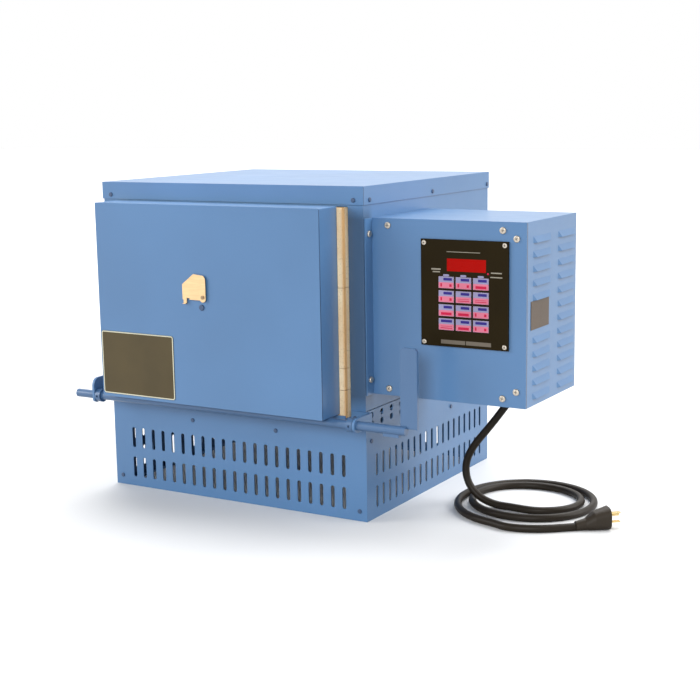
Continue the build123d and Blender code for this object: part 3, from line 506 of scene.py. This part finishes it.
# Painted shade for the hollows of the screws' cross recesses
cross_recess_shade = plastic_material("screw_recess_painted_shade", (0.10, 0.085, 0.07), 0.6)
black_plate = plastic_material("black_plate", (0.080, 0.058, 0.022), 0.34, 0.10, 900.0, shine=0.3)
black_face = plastic_material("black_face", (0.015, 0.009, 0.001), 0.42, 0.12, 1000.0, shine=0.08)
cream_print = plastic_material("cream_print", (0.72, 0.70, 0.52), 0.45)
grey_print = plastic_material("grey_print", (0.13, 0.105, 0.075), 0.5)
pale_print = plastic_material("pale_print", (0.30, 0.27, 0.21), 0.5)
lavender_print = plastic_material("lavender_print", (0.31, 0.29, 0.46), 0.42, shine=0.2)
pink_print = plastic_material("pink_print", (0.70, 0.19, 0.28), 0.42, shine=0.2)
crimson_print = plastic_material("crimson_print", (0.55, 0.012, 0.06), 0.42, shine=0.2)
navy_print = plastic_material("navy_print", (0.03, 0.02, 0.20), 0.42, shine=0.2)
key_film = plastic_material("key_film", (0.50, 0.40, 0.55), 0.45)
brown_plate = plastic_material("brown_plate", (0.090, 0.058, 0.034), 0.40, 0.3, 300.0, shine=0.3)
red_window = plastic_material("red_window", (0.42, 0.003, 0.001), 0.30, 0.05, 400.0, shine=0.08)
rubber = plastic_material("cord_rubber", (0.017, 0.012, 0.007), 0.46, 0.5, 500.0, shine=0.2)
plug_rubber = plastic_material("plug_rubber", (0.024, 0.016, 0.008), 0.50, 0.5, 420.0, shine=0.3)
board = plastic_material("board_green", (0.02, 0.16, 0.06), 0.4)
relay_plastic = plastic_material("relay_plastic", (0.02, 0.02, 0.022), 0.45)
sheath = plastic_material("sheath_ceramic", (0.80, 0.76, 0.68), 0.7, 0.6, 300.0)
fibre = plastic_material("ceramic_fibre", (0.85, 0.83, 0.78), 0.95, 1.0, 140.0, 0.002)


# CAD nodes that keep their shape
def dress(material, *names):
    """The material alone on each named node."""
    for name in names:
        data = nodes[name].data
        data.materials.clear()
        data.materials.append(material)


dress(
    blue, "stand_front", "stand_back", "stand_left", "stand_right", "case_floor_pan",
    "case_left_panel", "case_back_panel", "hinge_bracket_left", "hinge_bracket_right",
    "control_front_panel",
)
dress(blue_door, "door_shell")
dress(blue_lid, "top_lid")
dress(blue_box, "control_box_shell")
dress(fasteners, "door_fasteners")
dress(blue_shaded_recess, "case_front_frame", "case_right_panel")
dress(blue_rod, "hinge_rod", "hinge_collars", "lever_handle")
dress(screw_blue, "stand_screws", "lid_screws", "bracket_screws")
dress(brick, "brick_wall_left", "door_brick_lower", "door_brick_middle", "door_brick_upper")
dress(brick_beside_door_shaded, "brick_wall_right")
dress(brick_flat, "brick_floor", "brick_roof")
dress(brick_wall, "brick_wall_back")
dress(fibre, "fibre_blanket")
dress(sheath, "thermocouple")
dress(screw_steel, "panel_screws")
dress(brass_sheet, "peephole_cover")
dress(black_plate, "door_plate")
dress(brown_plate, "rating_plate")
dress(black_face, "controller_face")
dress(red_window, "display_window")
dress(board, "circuit_board")
dress(relay_plastic, "power_relay")
dress(core, "transformer")
dress(rubber, "strain_relief")
dress(plug_rubber, "plug_body")
dress(brass_blade, "plug_prongs")
dress(key_film, *[f"key_{number:02d}" for number in range(1, KEY_COUNT + 1)])


# Cord: the same route as in the CAD, as one smooth line
def cord_points():
    """Points of the hanging stretch, the loose coil and the tail that runs to the plug."""
    height = BENCH_TO_BOX - CORD_RADIUS
    points = [
        at(CORD_EXIT_X - left, FALL_PLANE, CORD_RADIUS + share * height)
        for left, share in FALL_POINTS
    ]
    for step in range(1, COIL_TURNS * COIL_STEPS + 1):
        turn = COIL_FIRST_TURN + step / COIL_STEPS
        angle = 2 * math.pi * turn
        reach_x = COIL_OUTWARD * (COIL_REACH[0] + COIL_GROWTH[0] * turn)
        reach_y = COIL_OUTWARD * (COIL_REACH[1] + COIL_GROWTH[1] * turn)
        x = COIL_MIDDLE[0] + COIL_DRIFT[0] * turn + reach_x * math.cos(angle)
        y = COIL_MIDDLE[1] + COIL_DRIFT[1] * turn + reach_y * math.sin(angle)
        points.append(at(x, y, CORD_RADIUS))
    for x, y in TAIL_POINTS:
        points.append(at(x, y, CORD_RADIUS))
    return points


def smooth_line(name, points, radius, material):
    """Round tube along one smooth open spline."""
    data = bpy.data.curves.new(name, "CURVE")
    data.dimensions = "3D"
    data.bevel_depth = radius
    data.bevel_resolution = 6
    data.use_fill_caps = True
    spline = data.splines.new("NURBS")
    spline.points.add(len(points) - 1)
    for target, point in zip(spline.points, points):
        target.co = (*point, 1.0)
    spline.order_u = 3
    spline.use_endpoint_u = True
    spline.resolution_u = 8
    data.materials.append(material)
    piece = bpy.data.objects.new(name, data)
    scene.collection.objects.link(piece)
    return piece


supply_cord = smooth_line("supply_cord", cord_points(), CORD_RADIUS / 1000, rubber)
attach(supply_cord, "furnace")
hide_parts("power_cord", "cord_coil")


# Prints on the door plate and the controller
def new_piece(name, bm, materials, body):
    """Object from a bmesh, riding on a body."""
    data = bpy.data.meshes.new(name)
    bm.normal_update()
    bm.to_mesh(data)
    bm.free()
    for material in materials:
        data.materials.append(material)
    piece = bpy.data.objects.new(name, data)
    scene.collection.objects.link(piece)
    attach(piece, body)
    return piece


def rounded_outline(x, z, radius):
    """Outline of a rounded rectangle in x and z, counter-clockwise seen from the front."""
    radius = min(radius, (x[1] - x[0]) / 2, (z[1] - z[0]) / 2)
    corners = (
        (x[1] - radius, z[0] + radius, -90),
        (x[1] - radius, z[1] - radius, 0),
        (x[0] + radius, z[1] - radius, 90),
        (x[0] + radius, z[0] + radius, 180),
    )
    outline = []
    for middle_x, middle_z, start in corners:
        for step in range(CORNER_STEPS + 1):
            angle = math.radians(start + 90 * step / CORNER_STEPS)
            outline.append(
                (middle_x + radius * math.cos(angle), middle_z + radius * math.sin(angle))
            )
    return outline


def add_ring(bm, outline, y):
    """Vertices of an outline at one depth."""
    return [bm.verts.new(at(x, y, z)) for x, z in outline]


def add_patch(bm, x, z, y, thickness, radius, index):
    """Thin printed patch on a face that looks to the front."""
    outline = rounded_outline(x, z, radius)
    front = add_ring(bm, outline, y - thickness)
    back = add_ring(bm, outline, y + PRINT_SINK)
    faces = [bm.faces.new(front)]
    for number in range(len(outline)):
        after = (number + 1) % len(outline)
        faces.append(
            bm.faces.new((front[after], front[number], back[number], back[after]))
        )
    for face in faces:
        face.material_index = index


def add_frame(bm, x, z, y, width, radius, thickness):
    """Thin printed border with rounded corners on a face that looks to the front."""
    outer = rounded_outline(x, z, radius)
    inner = rounded_outline(
        (x[0] + width, x[1] - width), (z[0] + width, z[1] - width), max(radius - width, 0.3)
    )
    outer_front = add_ring(bm, outer, y - thickness)
    outer_back = add_ring(bm, outer, y + PRINT_SINK)
    inner_front = add_ring(bm, inner, y - thickness)
    inner_back = add_ring(bm, inner, y + PRINT_SINK)
    for number in range(len(outer)):
        after = (number + 1) % len(outer)
        quads = (
            (outer_front[number], outer_front[after], inner_front[after], inner_front[number]),
            (outer_front[after], outer_front[number], outer_back[number], outer_back[after]),
            (inner_front[number], inner_front[after], inner_back[after], inner_back[number]),
        )
        for quad in quads:
            bm.faces.new(quad)


def make_door_plate_border():
    """Pale border of the blank black plate on the door."""
    bm = bmesh.new()
    add_frame(
        bm, *DOOR_PLATE, DOOR_PLATE_FRONT, BORDER_WIDTH, BORDER_RADIUS, BORDER_THICKNESS
    )
    new_piece("door_plate_border", bm, [cream_print], "door")


def make_key_print(number):
    """Printed film of one key: lavender above, pink below, with plain bars and blocks."""
    row, column = divmod(number, KEY_COLUMNS)
    x = KEY_FIRST_X + KEY_PITCH_X * column
    z = KEY_FIRST_Z - KEY_PITCH_Z * row
    body = f"key_{number + 1:02d}"
    bm = bmesh.new()
    wide = (x - KEY_HALF_WIDTH, x + KEY_HALF_WIDTH)
    upper = (z - HALVES_OVERLAP, z + KEY_HALF_HEIGHT)
    lower = (z - KEY_HALF_HEIGHT, z + HALVES_OVERLAP)
    add_patch(bm, wide, upper, KEY_FRONT, 0.05, 0.9, 0)
    add_patch(bm, wide, lower, KEY_FRONT, 0.07, 0.9, 1)
    left = x - LONG_LABEL_LEFT if number in LONG_LABEL_KEYS else x - LABEL_LEFT
    label = (z + LABEL_HEIGHTS[0], z + LABEL_HEIGHTS[1])
    add_patch(bm, (left, x + LABEL_RIGHT), label, KEY_FRONT, 0.10, 0.4, 2)
    marks = BLOCK_MARKS
    if number in BAR_KEYS:
        marks = BAR_MARKS
    elif number in LINE_KEYS:
        marks = LINE_MARKS
    for (low_x, high_x), (low_z, high_z) in marks:
        add_patch(bm, (x + low_x, x + high_x), (z + low_z, z + high_z), KEY_FRONT, 0.10, 0.5, 3)
    new_piece(
        f"print_{body}", bm, [lavender_print, pink_print, navy_print, crimson_print],
        body,
    )


def make_face_print():
    """Tabs over the keys and plain bars where the face plate has small print."""
    bm = bmesh.new()
    for column in range(KEY_COLUMNS):
        x = KEY_FIRST_X + KEY_PITCH_X * column
        add_patch(bm, (x - TAB_LEFT, x + TAB_RIGHT), TAB_HEIGHTS, FACE_FRONT, 0.06, 1.2, 0)
    for x, z, thickness, radius, index in FACE_PRINT:
        add_patch(bm, x, z, FACE_FRONT, thickness, radius, index)
    new_piece(
        "face_print", bm, [lavender_print, pale_print, grey_print, crimson_print],
        "furnace",
    )


make_door_plate_border()
for key_number in range(KEY_COUNT):
    make_key_print(key_number)
make_face_print()


# Cross recesses of the bright screws, drawn as thin dark crosses of painted shade
def make_screw_recesses():
    """Thin dark crosses of painted shade on the heads of the panel's and the face plate's screws,
    standing for their cross recesses.
    """
    bm = bmesh.new()
    for places, head, reach in (
        (PANEL_SCREWS, PANEL_SCREW_HEAD, PANEL_SLOT_REACH),
        (FACE_SCREWS, FACE_SCREW_HEAD, FACE_SLOT_REACH),
    ):
        for number, (x, z) in enumerate(places):
            for step in (0, 1):
                turn = Matrix.Rotation(math.radians(90 * step + SLOT_TURN * number), 4, "Y")
                size = Matrix.Diagonal((2 * reach / 1000, SLOT_DEPTH, SLOT_WIDTH, 1.0))
                place = Matrix.Translation(at(x, head, z))
                bmesh.ops.create_cube(bm, size=1.0, matrix=place @ turn @ size)
    new_piece("screw_recesses", bm, [cross_recess_shade], "furnace")


make_screw_recesses()


# Heating elements: wound wire in the grooves of the side walls
def make_element(name, node):
    """Wire wound round the hairpin that the CAD element follows."""
    low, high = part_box(node)
    x = (low.x + high.x) / 2
    lower = low.z + ELEMENT_RADIUS
    upper = high.z - ELEMENT_RADIUS
    front = low.y + ELEMENT_RADIUS
    rear = high.y
    bend = ELEMENT_BEND
    straight = rear - front - bend
    rise = upper - lower - 2 * bend
    quarter = math.pi * bend / 2
    total = 2 * straight + 2 * quarter + rise

    def centre(distance):
        """Point of the hairpin and its direction, in y and z."""
        if distance < straight:
            return rear - distance, lower, -1.0, 0.0
        distance -= straight
        if distance < quarter:
            angle = distance / bend
            return (
                front + bend - bend * math.sin(angle), lower + bend - bend * math.cos(angle),
                -math.cos(angle), math.sin(angle),
            )
        distance -= quarter
        if distance < rise:
            return front, lower + bend + distance, 0.0, 1.0
        distance -= rise
        if distance < quarter:
            angle = distance / bend
            return (
                front + bend - bend * math.cos(angle), upper - bend + bend * math.sin(angle),
                math.sin(angle), math.cos(angle),
            )
        distance -= quarter
        return front + bend + distance, upper, 1.0, 0.0

    count = int(total / WINDING_PITCH * POINTS_PER_TURN)
    data = bpy.data.curves.new(name, "CURVE")
    data.dimensions = "3D"
    data.bevel_depth = WIRE_RADIUS
    data.bevel_resolution = 1
    spline = data.splines.new("POLY")
    spline.points.add(count)
    for number in range(count + 1):
        y, z, along_y, along_z = centre(total * number / count)
        angle = 2 * math.pi * number / POINTS_PER_TURN
        side = WINDING_RADIUS * math.cos(angle)
        spline.points[number].co = (
            x + WINDING_RADIUS * math.sin(angle), y - along_z * side, z + along_y * side, 1.0
        )
    data.materials.append(wire)
    piece = bpy.data.objects.new(name, data)
    scene.collection.objects.link(piece)
    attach(piece, "furnace")
    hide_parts(node)


for wall in ("left", "right"):
    make_element("wound_element_" + wall, "heating_element_" + wall)


# Floor and light
def seen_ray(tree):
    """1 for rays that come straight from the picture, a reflection or glass, 0 for soft light."""
    path = tree.nodes.new("ShaderNodeLightPath")
    seen = math_node(
        tree, "MAXIMUM", path.outputs["Is Camera Ray"], path.outputs["Is Glossy Ray"]
    )
    return math_node(tree, "MAXIMUM", seen, path.outputs["Is Transmission Ray"])


def make_stage():
    """Plain pale floor that runs on past the picture's edge and throws little light back up."""
    bm = bmesh.new()
    bmesh.ops.create_grid(bm, x_segments=1, y_segments=1, size=FLOOR_HALF)
    data = bpy.data.meshes.new("floor")
    bm.to_mesh(data)
    bm.free()
    material, tree, shader, _ = start_material("pale_floor")
    tone = mix_colors(tree, seen_ray(tree), FLOOR_BOUNCE, FLOOR_TONE)
    link(tree, tone, shader.inputs["Base Color"])
    shader.inputs["Roughness"].default_value = 0.9
    shader.inputs["Specular IOR Level"].default_value = 0.0
    data.materials.append(material)
    floor = bpy.data.objects.new("floor", data)
    scene.collection.objects.link(floor)


def sun_light(name, azimuth, elevation, strength, width):
    """Soft sun that shines from an azimuth and an elevation."""
    data = bpy.data.lights.new(name, "SUN")
    data.energy = strength
    data.angle = math.radians(width)
    lamp = bpy.data.objects.new(name, data)
    flat = math.cos(math.radians(elevation))
    towards = Vector(
        (
            flat * math.cos(math.radians(azimuth)),
            flat * math.sin(math.radians(azimuth)),
            math.sin(math.radians(elevation)),
        )
    )
    lamp.rotation_mode = "QUATERNION"
    lamp.rotation_quaternion = (-towards).to_track_quat("-Z", "Y")
    scene.collection.objects.link(lamp)


def make_light():
    """White room, soft key a little right of the front, lamps from left, right and above."""
    world = bpy.data.worlds.new("soft_studio")
    world.use_nodes = True
    tree = world.node_tree
    background = tree.nodes["Background"]
    view = tree.nodes.new("ShaderNodeTexCoord").outputs["Generated"]
    backdrop = ramp(tree, split_place(tree, view)["Y"], BACKDROP_START, BACKDROP_END)
    seen_tone = mix_colors(tree, backdrop, FRONT_TONE, BACKDROP_TONE)
    tone = mix_colors(tree, seen_ray(tree), ROOM_TONE, seen_tone)
    camera_ray = tree.nodes.new("ShaderNodeLightPath").outputs["Is Camera Ray"]
    tone = mix_colors(tree, camera_ray, tone, BACKDROP_TONE)
    link(tree, tone, background.inputs["Color"])
    scene.world = world
    sun_light("key", *KEY_LIGHT)
    sun_light("side", *SIDE_LIGHT)
    sun_light("fill", *FILL_LIGHT)
    sun_light("overhead", *TOP_LIGHT)


make_stage()
make_light()
